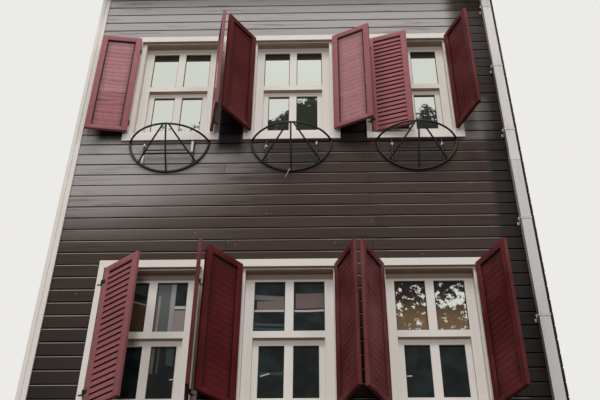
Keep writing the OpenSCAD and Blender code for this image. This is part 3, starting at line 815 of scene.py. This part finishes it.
PITCH = radians(24)
DECK_T, ROOF_T = 0.070, 0.160
EAVES_Y, EAVES_Z = -4.45, 11.0599
SLOPE_LEN = -EAVES_Y / cos(PITCH)
TILE_ROWS, TILE_COLUMNS = 14, 22
TILE_LEN, TILE_R = 0.42, 0.09
COVER_UP, PAN_UP = DECK_T + 0.058, DECK_T + 0.031
TILE_LEAN = turned(-2.3, "X")
RIDGE_TILES, RIDGE_LEN = 14, 0.40
RIDGE_TOP = cad_box[1].z


def barrel_tile(name, radius, arc, length, thickness):
    """An arched tile along Y, a little narrower at its upper end, with its crown up and its foot at zero."""
    foot = radius * cos(radians(arc))
    tile = round_bar(name, (0, 0, 0), radius, length, 18, ALONG_Y, "NOTHING")
    shape(tile, "VERT", lambda spot: spot.z < foot - 0.001, lambda: bpy.ops.mesh.delete(type="VERT"))
    shape(tile, "VERT", lambda spot: spot.y > 0, lambda: bpy.ops.transform.resize(value=(0.9, 1, 1)))
    tile.data.transform(at(0, 0, -foot))
    return modify(tile, "SOLIDIFY", thickness=thickness, offset=-1)


def lay_tiles(tile, name, places):
    """Lays a tile at each place and marks each with its own random shade."""
    faces_each = len(tile.data.polygons)
    tiles = lay_out(tile, name, places)
    count = len(tiles.data.polygons)
    shades = [random.random() for _ in range(count // faces_each + 1)]
    mark(tiles, "own_shade", [shades[i // faces_each] for i in range(count)], "FACE")
    return tiles


def tiled_slope(side):
    """Half of the roof, made for the front and turned for the back."""
    node, name = "roof_" + side, "roof_%s_tiles" % side
    slope = at(0, EAVES_Y, EAVES_Z) @ Matrix.Rotation(PITCH, 4, "X")
    row_step, column_step = (SLOPE_LEN - 0.05) / TILE_ROWS, (2 * HALF_W - 0.004) / TILE_COLUMNS
    places = []

    def lay(x, y, up, wobble=0.0, over=Matrix.Identity(4)):
        """Places one tile on the slope, turned a little at random where it may wobble."""
        aside = Matrix.Rotation(random.uniform(-wobble, wobble), 4, "Z") if wobble else Matrix.Identity(4)
        places.append(slope @ at(x, y, up) @ TILE_LEAN @ aside @ over)

    for row in range(TILE_ROWS):
        y = min(row * row_step + TILE_LEN / 2 + 0.070, SLOPE_LEN - 0.02 - TILE_LEN / 2)
        for column in range(TILE_COLUMNS):
            x = -HALF_W + 0.002 + (column + 0.5) * column_step
            lay(x, y, COVER_UP, 0.012, turned(180, "Y"))
            if column:
                lay(x - column_step / 2, y, PAN_UP, 0.014)
        for end in (-1, 1):
            lay(end * (HALF_W - TILE_R * 0.9), y, PAN_UP)
    tiles = lay_tiles(barrel_tile("tile", TILE_R, 60, TILE_LEN, 0.011), name, places)
    deck = node_copy(node, name + "_deck")
    if side == "back":
        deck.data.transform(HALF_TURN)
    for corner in deck.data.vertices:
        under = EAVES_Z + (corner.co.y - EAVES_Y) * tan(PITCH)
        if corner.co.z > under + 0.05:
            corner.co.z -= (ROOF_T - DECK_T) / cos(PITCH)
    roof = join([tiles, dress(deck)], name)
    if side == "back":
        roof.data.transform(HALF_TURN)
    return finished(roof, clay, nodes=[node], smooth=35)


def ridge_tiles():
    """Tiles along the ridge on a bed of mortar, each second one lapped over its neighbours."""
    first = -HALF_W + RIDGE_LEN / 2 + 0.002
    step = -2 * first / (RIDGE_TILES - 1)
    places = [at(first + i * step, 0, RIDGE_TOP - 0.112 + 0.003 * (i % 2)) @ turned(90, "Z")
              for i in range(RIDGE_TILES)]
    ridge = lay_tiles(barrel_tile("ridge_tile", 0.125, 80, RIDGE_LEN, 0.014), "ridge_tiles", places)
    half = HALF_W - 0.005
    bed = block("ridge_bed", (-half, -0.10, RIDGE_TOP - 0.17), (half, 0.10, RIDGE_TOP - 0.06))
    ease_edges(bed, 0.04, 2, lambda middle, way: abs(way.x) > 1 and middle.z > RIDGE_TOP - 0.1)
    return join([ridge, bed], "ridge_tiles")


tiled_slope("front")
tiled_slope("back")
finished(ridge_tiles(), clay, smooth=35)


# Window casings: four mitred boards to a window

LIP, LIP_DEEP = 0.018, BOARD_T - 0.0005


def casing_model():
    """Four boards round an opening, each cut to a mitre, with eased front edges and a lip behind."""
    half, wide, top = OPENING_HALF, OPENING_HALF + CASING_SIDE, OPENING_H + CASING_END
    boards = []
    for side in (-1, 1):
        board = block("side", (side * half, -CASING_OUT, -CASING_END), (side * wide, 0, top))
        for upper, lift in ((False, CASING_END), (True, -CASING_END)):
            shape(board, "VERT", lambda spot: abs(spot.x - side * half) < 0.001 and (spot.z > 0.5) == upper,
                  slide(0, 0, lift))
        boards.append(board)
    for low, inner in ((-CASING_END, 0), (OPENING_H, OPENING_H)):
        board = block("end", (-wide, -CASING_OUT, low), (wide, 0, low + CASING_END))
        for side in (-1, 1):
            shape(board, "VERT", lambda spot: abs(spot.z - inner) < 0.001 and spot.x * side > 0,
                  slide(-side * CASING_SIDE, 0, 0))
        boards.append(board)
    for board in boards:
        ease_edges(board, 0.0022, 2, lambda middle, way: middle.y < -CASING_OUT + 0.001)
    edge = half + LIP
    boards += [block("lip", (side * half, 0, 0), (side * edge, LIP_DEEP, OPENING_H)) for side in (-1, 1)]
    boards += [block("lip", (-edge, 0, low), (edge, LIP_DEEP, low + LIP)) for low in (-LIP, OPENING_H)]
    return join(boards, "casing")


for side, places in (("front", front_places), ("back", back_places)):
    casings = lay_out(casing_model(), side + "_casing_boards", places)
    finished(casings, white, nodes=[side + "_casings"])


# Glazing seals: a thin black frame at each pane's edge

SEAL_W, SEAL_T = 0.007, 0.004
TOP_GLASS_Y, SASH_GLASS_Y = REVEAL + 0.022, REVEAL + 0.0695
# A pane's low and high x from the window's middle, its low and high z, and its glass
PANES = ((0.041, 0.338, PANES_UP, PANES_UP + PANES_H, TOP_GLASS_Y),
         (0.041, 0.2807, 0.2043, 0.7387, SASH_GLASS_Y))


def pane_seal(low_x, high_x, low_z, high_z, glass_y):
    x, z = (low_x + high_x) / 2, (low_z + high_z) / 2
    clear_choice()
    bpy.ops.mesh.primitive_plane_add(size=1, location=(x, glass_y - SEAL_T, z), rotation=ALONG_Y)
    seal = bpy.context.object
    seal.scale = (abs(high_x - low_x), high_z - low_z, 1)
    settle(seal, "seal")
    shape(seal, "FACE", lambda middle, normal: True, lambda: bpy.ops.mesh.inset(thickness=SEAL_W))
    shape(seal, "FACE", lambda middle, normal: abs(middle.x - x) < 0.001 and abs(middle.z - z) < 0.001,
          lambda: bpy.ops.mesh.delete(type="FACE"))
    return modify(seal, "SOLIDIFY", thickness=SEAL_T, offset=-1)


seals = [pane_seal(side * near, side * far, *rest) for side in (-1, 1) for near, far, *rest in PANES]
seals = lay_out(join(seals, "seals"), "glazing_seals", front_places + back_places)
finished(seals, seal_black())


# Downpipe: a strap with a hooked bolt at each fixing, and a sleeve over the joint

PIPE_X, PIPE_HALF = 2.312, 0.050
CORNICE_LOW = 10.7999
STRAP_SHARES = (0.1389, 0.2444, 0.35, 0.4537, 0.5581, 0.6622, 0.7733, 0.8658, 0.963)
STRAP_H, BAND_T, BOLT_R = 0.035, 0.004, 0.0045
STRAP_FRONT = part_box("pipe_straps")[0][1]


def strap_model():
    """A band round three sides of the pipe with flanged ears on the wall, their screws, and a hooked bolt."""
    outer, middle = PIPE_HALF + BAND_T, STRAP_H / 2
    low, high = 0.004, STRAP_H - 0.004
    parts = [block("band_front", (-outer, STRAP_FRONT, low), (outer, STRAP_FRONT + BAND_T, high))]
    for side in (-1, 1):
        near, far = side * PIPE_HALF, side * outer
        parts += [block("band_side", (near, STRAP_FRONT + 0.001, low), (far, FRONT - 0.003, high)),
                  block("ear", (near, FRONT - 0.003, 0), (far + side * 0.018, FRONT, STRAP_H)),
                  round_bar("screw", (far + side * 0.009, FRONT - 0.0045, middle), 0.005, 0.004, 10, ALONG_Y)]
    # the right ear and its screw, at the house's edge, stay sharp
    for part in parts[:5]:
        ease_edges(part, 0.001, 2)
    for z in (low, high - 0.004):
        lip = block("rolled_lip", (-outer - 0.002, STRAP_FRONT - 0.0015, z),
                    (outer + 0.002, STRAP_FRONT + 0.002, z + 0.004))
        parts.append(ease_edges(lip, 0.0014, 2))
    bolt_y = STRAP_FRONT + 0.012
    parts += [round_bar("bolt", (-outer - 0.010, bolt_y, middle), BOLT_R, 0.026, 12, ALONG_X),
              round_bar("bolt_hook", (-outer - 0.022, bolt_y, middle - 0.014), BOLT_R, 0.036, 12),
              round_bar("nut", (-outer - 0.012, bolt_y, middle), 0.008, 0.006, 6, ALONG_X)]
    return join(parts, "strap")


def pipe_sleeve():
    """A sleeve a little wider than the pipe, with a rounded lip, over the joint between two lengths."""
    low, high, half = STRAP_FRONT + 0.0015, FRONT - 0.0285, PIPE_HALF + 0.002
    sleeve = block("sleeve", (PIPE_X - half, low, JOINT_Z), (PIPE_X + half, high, JOINT_Z + 0.085))
    ease_edges(sleeve, 0.004, 2, lambda middle, way: abs(way.z) > 0.05)
    half += 0.002
    lip = block("sleeve_lip", (PIPE_X - half, low - 0.001, JOINT_Z - 0.004),
                (PIPE_X + half, high + 0.002, JOINT_Z + 0.006))
    return join([sleeve, ease_edges(lip, 0.002, 2)], "sleeve")


strap_places = [at(PIPE_X, 0, share * CORNICE_LOW) for share in STRAP_SHARES]
straps = lay_out(strap_model(), "downpipe_straps", strap_places)
finished(straps, pipe, nodes=["pipe_straps"], smooth=30)
finished(pipe_sleeve(), pipe, smooth=30)


# Small things left on the flower baskets: plastic ties, two white fixing plates and a bent hook

STAY_X, STAY_R, HOOP_R = 0.270, 0.0085, 0.013
STAY_Y = FRONT - HOOP_R
RING_Z = SILLS[2] - 0.108
# Each tie's bay and side, its drop from the basket's ring, and how far it has slipped round its stay
TIES = ((0, -1, 0.045, 20), (1, -1, 0.080, -25), (1, 1, 0.040, 10), (2, -1, 0.065, 30), (2, 1, 0.070, -15))
# Each plate's middle and its two ends
PLATES = ((WINDOW_XS[0] + STAY_X - 0.018, RING_Z - 0.150, RING_Z + 0.006),
          (WINDOW_XS[0] - STAY_X + 0.002, RING_Z - 0.310, RING_Z - 0.200))
HOOK_BENDS = [(0.006, 0, 0.016), (-0.012, -0.004, 0.012), (-0.020, -0.006, -0.012), (-0.034, -0.006, -0.050),
              (-0.052, -0.004, -0.092), (-0.058, 0.002, -0.104)]


def tie_model():
    """A plastic tie round a stay: a loop, its head and its cut tail."""
    loop = round_bar("loop", (0, 0, 0), STAY_R + 0.0035, 0.016, 16, ends="NOTHING")
    modify(loop, "SOLIDIFY", thickness=0.003, offset=-1)
    head = block("head", (-0.007, -STAY_R - 0.011, -0.008), (0.007, -STAY_R - 0.002, 0.010))
    tail = block("tail", (-0.003, -STAY_R - 0.010, -0.040), (0.003, -STAY_R - 0.0075, -0.006))
    ease_edges(head, 0.002, 2)
    ease_edges(tail, 0.001)
    shape(tail, "VERT", lambda spot: spot.z < -0.03, slide(-0.010, -0.004, 0))
    return join([loop, head, tail], "tie")


def fixing_plate(x, low, high):
    """A small plate on the front of a stay, with a rivet near each end."""
    front = STAY_Y - STAY_R
    plate = ease_edges(block("plate", (x - 0.012, front - 0.004, low), (x + 0.012, front, high)), 0.0015, 2)
    rivets = [round_bar("rivet", (x, front - 0.005, z), 0.004, 0.003, 10, ALONG_Y)
              for z in (low + 0.015, high - 0.015)]
    return [plate] + rivets


def bent_hook():
    """A bent wire hook, closed round the hoop's foot and hanging to the left."""
    wires = []
    for start, end in zip(HOOK_BENDS, HOOK_BENDS[1:]):
        start, end = Vector(start), Vector(end)
        run = end - start
        wire = round_bar("wire", (0, 0, 0), 0.0032, run.length + 0.004, 8)
        wire.data.transform(at(*(start + end) / 2) @ run.to_track_quat("Z", "Y").to_matrix().to_4x4())
        wires.append(wire)
    hook = join(wires, "basket_hook")
    hook.data.transform(at(WINDOW_XS[1], STAY_Y - HOOP_R - 0.004, RING_Z - 0.420))
    return hook


tie_places = [at(WINDOW_XS[bay] + side * STAY_X, STAY_Y, RING_Z - drop) @ turned(angle, "Z")
              for bay, side, drop, angle in TIES]
finished(lay_out(tie_model(), "basket_ties", tie_places), plastic, smooth=30)
plates = [part for plate in PLATES for part in fixing_plate(*plate)]
finished(join(plates, "basket_plates"), white, smooth=30)
finished(bent_hook(), zinc(), smooth=30)


# Street door's knob

def door_knob():
    """A brass knob on its rose, with a keyhole plate below it."""
    low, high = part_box("door_leaf")
    x, front, z = high[0] - 0.065, low[1], DOOR_LOW + 1.02
    rose = ease_edges(round_bar("rose", (x, front - 0.003, z), 0.029, 0.006, 28, ALONG_Y), 0.002, 2)
    neck = round_bar("neck", (x, front - 0.018, z), 0.009, 0.030, 16, ALONG_Y)
    knob = round_bar("knob", (x, front - 0.045, z), 0.027, 0.034, 28, ALONG_Y)
    ease_edges(knob, 0.011, 4, lambda middle, way: abs(way.y) < 0.001)
    plate = block("keyhole_plate", (x - 0.018, front - 0.004, z - 0.165), (x + 0.018, front, z - 0.085))
    ease_edges(plate, 0.002, 2)
    cut_out(plate, round_bar("keyhole", (x, front - 0.004, z - 0.120), 0.005, 0.01, 12, ALONG_Y))
    return join([rose, neck, knob, plate], "door_knob")


finished(door_knob(), worn_brass(), smooth=30)


# Shutters: a louvred leaf, modelled closed with its hinge axis on the origin and the leaf towards -X.
# Louvres face the street when it is closed, and lapped boards close it on the room side.

LEAF_W, LEAF_T, LEAF_H = 0.460, 0.036, 1.500
LEAF_EDGE, LEAF_UP, HINGE_OUT = -0.005, 0.009, 0.012
LEAF_MIDDLE = LEAF_EDGE - LEAF_W / 2
STILE, COVER, TOP_RAIL, BOTTOM_RAIL = 0.066, 0.026, 0.070, 0.052
RAIL_BACK = 0.0006
FIELD_HALF, FIELD_H = LEAF_W / 2 - STILE, LEAF_H - TOP_RAIL - BOTTOM_RAIL
SLATS, SLAT_W, SLAT_T, SLAT_TILT, SLAT_END = 21, 0.0610, 0.006, 13, 0.048
SLAT_PITCH = (FIELD_H - 2 * SLAT_END) / (SLATS - 1)
SLAT_Y, BOARD_Y = HINGE_OUT + 0.0104, HINGE_OUT + 0.0230
BOARD_HALF, BOARD_PITCH = FIELD_HALF - 0.009, (FIELD_H - 0.036) / SLATS
# On the worn leaf, the boards that slipped with their skew, and how many at its foot get less painted sheen
SLIPPED, RED_BOARDS = {5: 0.016, 7: -0.006}, 8
HINGE_ZS, STRAP_LEN, KNUCKLE_R = (0.150, LEAF_H - 0.190), 0.040, 0.007


def slat_model():
    """One louvre with round edges, cut near its ends where painted shade darkens it."""
    half = FIELD_HALF + 0.006
    slat = block("slat", (-half, -SLAT_T / 2, -SLAT_W / 2), (half, SLAT_T / 2, SLAT_W / 2))
    ease_edges(slat, 0.0022, 2, lambda middle, way: abs(way.x) > 0.1)
    return cut_across(slat, (0.030 - half, half - 0.030))


def field_board():
    """One of the lapped boards behind the louvres, cut across so that it can warp."""
    one = block("field_board", (-BOARD_HALF, -0.0012, -0.001), (BOARD_HALF, 0.0018, SLAT_PITCH + 0.004))
    ease_edges(one, 0.0007, 2, lambda middle, way: abs(way.x) > 0.1 and middle.y > 0.001)
    shape(one, "VERT", lambda spot: spot.z > 0.03, slide(0, -0.0003, 0))
    return cut_across(one, [share * BOARD_HALF for share in (-0.9, -0.6, -0.3, 0, 0.3, 0.6, 0.9)])


def louvred_field():
    """The louvres of one leaf, each a little out of line, with painted shade near their ends."""
    places = []
    for i in range(SLATS):
        z = BOTTOM_RAIL + SLAT_END + i * SLAT_PITCH + random.uniform(-0.0012, 0.0012)
        places.append(at(LEAF_MIDDLE, SLAT_Y, z) @ turned(-SLAT_TILT + random.uniform(-0.7, 0.7), "X"))
    slats = lay_out(slat_model(), "slats", places)
    # painted shade near the louvres' ends
    mark(slats, "painted_shade", [0.15 if abs(corner.co.x - LEAF_MIDDLE) > FIELD_HALF - 0.018 else 0.0
                          for corner in slats.data.vertices])
    return slats


def board_shade(spot, along):
    """How much painted shade a lapped board gets: black behind, dark at its ends and under the top rail."""
    if spot.y < BOARD_Y:
        return 1.0
    under_rail = 0.5 if spot.z > LEAF_H - TOP_RAIL - 0.075 else 0.0
    at_end = 0.9 if abs(along) > 0.93 else 0.3 if abs(along) > 0.8 else 0.0
    return max(under_rail, at_end)


def boarded_field(worn):
    """The lapped boards of one leaf. The worn leaf has bowed and slipped ones, and redder ones with less
    painted sheen.
    """
    model = field_board()
    boards = []
    for i in range(SLATS):
        low = BOTTOM_RAIL + 0.002 + i * BOARD_PITCH
        one = copy_of(model, at(LEAF_MIDDLE + random.uniform(-0.0015, 0.0015), BOARD_Y, low))
        bow = random.uniform(-1, 1) * (0.0004 + 0.0022 * worn)
        skew = random.uniform(-1, 1) * (0.0008 + 0.0035 * worn)
        own = 0.65 + 0.35 * random.random()
        lift = random.uniform(-0.0012, 0.0016) * worn
        if worn and i in SLIPPED:
            bow, skew = -0.007, SLIPPED[i]
        # the lowest boards show less of the painted sheen, so look redder
        if worn and i < RED_BOARDS:
            own -= 0.6
        painted_shade = []
        for corner in one.data.vertices:
            along = (corner.co.x - LEAF_MIDDLE) / FIELD_HALF
            corner.co.y += lift * (1 - along ** 2)
            corner.co.z += bow * (1 - along ** 2) + skew * along
            painted_shade.append(board_shade(corner.co, along))
        mark(one, "painted_shade", painted_shade)
        mark(one, "own_shade", own)
        boards.append(one)
    bpy.data.objects.remove(model)
    half = FIELD_HALF + 0.004
    # a black backing behind the boards, all painted shade
    back = block("shade_backing", (LEAF_MIDDLE - half, BOARD_Y - 0.0032, BOTTOM_RAIL - 0.004),
                 (LEAF_MIDDLE + half, BOARD_Y - 0.0014, LEAF_H - TOP_RAIL + 0.004))
    mark(back, "painted_shade", 1.0)
    return join(boards + [back], "boards")


def leaf_hinge(z):
    """The moving half of a hinge: a knuckle on its pin, a web and a strap with two screws."""
    middle = z + STRAP_LEN / 2
    knuckle = round_bar("knuckle", (0, 0, middle), KNUCKLE_R, STRAP_LEN, 20, ends="NOTHING")
    modify(knuckle, "SOLIDIFY", thickness=0.0032, offset=-1)
    strap = block("strap", (-0.045, HINGE_OUT - 0.003, z), (-0.004, HINGE_OUT, z + STRAP_LEN))
    ease_edges(strap, 0.0008)
    web = block("web", (-0.0068, 0.0042, z + 0.0005), (-0.003, HINGE_OUT, z + STRAP_LEN - 0.0005))
    screws = [round_bar("screw", (x, HINGE_OUT - 0.0035, middle), 0.004, 0.002, 10, ALONG_Y)
              for x in (-0.036, -0.018)]
    return [knuckle, strap, web] + screws


def leaf_model(name, worn):
    """A whole leaf: stiles, a cover strip, rails, louvres, boards and two hinges."""
    left, right = LEAF_EDGE - LEAF_W, LEAF_EDGE
    near, far = HINGE_OUT, HINGE_OUT + LEAF_T
    rail_near, rail_far = near + RAIL_BACK, far - RAIL_BACK
    wood = [
        block("hinge_stile", (right - STILE, near, 0), (right, far, LEAF_H)),
        block("free_stile", (left + COVER, near, 0), (left + STILE, far, LEAF_H)),
        block("cover_strip", (left, near, 0), (left + COVER, far, LEAF_H)),
        block("top_rail", (left + STILE, rail_near, LEAF_H - TOP_RAIL), (right - STILE, rail_far, LEAF_H)),
        block("bottom_rail", (left + STILE, rail_near, 0), (right - STILE, rail_far, BOTTOM_RAIL))]
    for member in wood:
        ease_edges(member, 0.0018, 2)
    timber = join([louvred_field(), boarded_field(worn)] + wood, name + "_timber")
    fittings = join([part for z in HINGE_ZS for part in leaf_hinge(z)], name + "_fittings")
    return join([dress(timber, burgundy), dress(fittings, iron)], name)


# Each leaf's angle from shut, and how much painted sky sheen turns it pink
LEAVES = {
    ("top", SILLS[2]): ((172, 1.0), (103, 0.5), (126, 0.0), (155, 1.0), (17, 1.0), (114, 0.1)),
    ("middle", SILLS[1]): ((38, 0.7), (99, 0.12), (131, 0.0), (112, 0.12), (118, 0.22), (117, 0.1)),
}
HINGE_Y = FRONT - CASING_OUT - HINGE_OUT
MIRROR = Matrix.Scale(-1, 4, (1, 0, 0))

sound_leaf, worn_leaf = leaf_model("sound_leaf", 0), leaf_model("worn_leaf", 1)
for (row, sill), leaves in LEAVES.items():
    for i, (angle, sheen) in enumerate(leaves):
        side = -1 if i % 2 == 0 else 1
        place = at(WINDOW_XS[i // 2] + side * OPENING_HALF, HINGE_Y, sill + LEAF_UP)
        if side < 0:
            place = place @ MIRROR
        node = "shutter_%s_%d" % (row, i + 1)
        model = worn_leaf if node == "shutter_top_1" else sound_leaf
        leaf = copy_of(model, place @ turned(angle, "Z"), node + "_leaf")
        mark(leaf, "leaf_sheen", sheen)
        finished(leaf, None, body=node, nodes=[node], smooth=30)
for model in (sound_leaf, worn_leaf):
    bpy.data.objects.remove(model)


# Stage: a pale floor, soft boxes, an even sky and the camera

HOUSE_MIDDLE = (0, -4, 7.5)


def stage_floor():
    """A pale floor that throws only a little light back up."""
    clear_choice()
    bpy.ops.mesh.primitive_plane_add(size=120, location=(0, 0, -0.002))
    floor = settle(bpy.context.object, "floor")
    f = Finish("floor_pale", roughness=0.9, specular=0.1)
    pale = f.mix((226, 224, 220), (232, 230, 227), f.noise(0.4, 2.0))
    f.start((118, 112, 106), pale, f.seen())
    dress(floor, f.coat())


def sky():
    """An even pale sky to look at, with a weak bluish light of its own."""
    world = bpy.context.scene.world or bpy.data.worlds.new("sky")
    bpy.context.scene.world = world
    world.use_nodes = True
    w = Nodes(world.node_tree)
    light = w.node("Background", {}, {"Color": (0.93, 0.96, 1.0, 1), "Strength": 0.22})
    backdrop = w.node("Background", {}, {"Color": paint(236, 235, 232)})
    w.node("OutputWorld", {}, {"Surface": w.node("MixShader", {}, {0: w.seen(), 1: light, 2: backdrop})})


def soft_box(name, place, aim, size, power):
    """A square lamp at a place, turned to where it aims."""
    lamp = bpy.data.lights.new(name, "AREA")
    lamp.shape, lamp.size, lamp.energy = "SQUARE", size, power
    holder = bpy.data.objects.new(name, lamp)
    bpy.context.collection.objects.link(holder)
    holder.location = place
    holder.rotation_euler = (Vector(aim) - Vector(place)).to_track_quat("-Z", "Y").to_euler()


def photo_camera():
    """The camera stands on the street, 7.3 m before the front, and looks up at 39 degrees."""
    lens = bpy.data.cameras.new("camera")
    lens.lens, lens.sensor_width, lens.sensor_fit = 54.80, 36.0, "HORIZONTAL"
    lens.clip_end = 400
    camera = bpy.data.objects.new("camera", lens)
    bpy.context.collection.objects.link(camera)
    turn = turned(1.74, "Z") @ turned(90 + 38.99, "X") @ turned(0.51, "Z")
    camera.matrix_world = at(0.288, -11.292, 1.6) @ turn
    bpy.context.scene.camera = camera


stage_floor()
sky()
soft_box("left_sky_box", (-18.5, -28.5, 34.0), HOUSE_MIDDLE, 12, 3900)
soft_box("right_sky_box", (17.6, -29.0, 34.0), HOUSE_MIDDLE, 12, 3400)
soft_box("high_sky_box", (0, -26.0, 44.0), HOUSE_MIDDLE, 9, 4600)
soft_box("street_box", (0.3, -110.0, 12.0), HOUSE_MIDDLE, 22, 27400)
soft_box("back_box", (0, 110.0, 16.0), (0, 4, 7.0), 22, 38000)
photo_camera()
bpy.context.scene.view_settings.view_transform = "Standard"
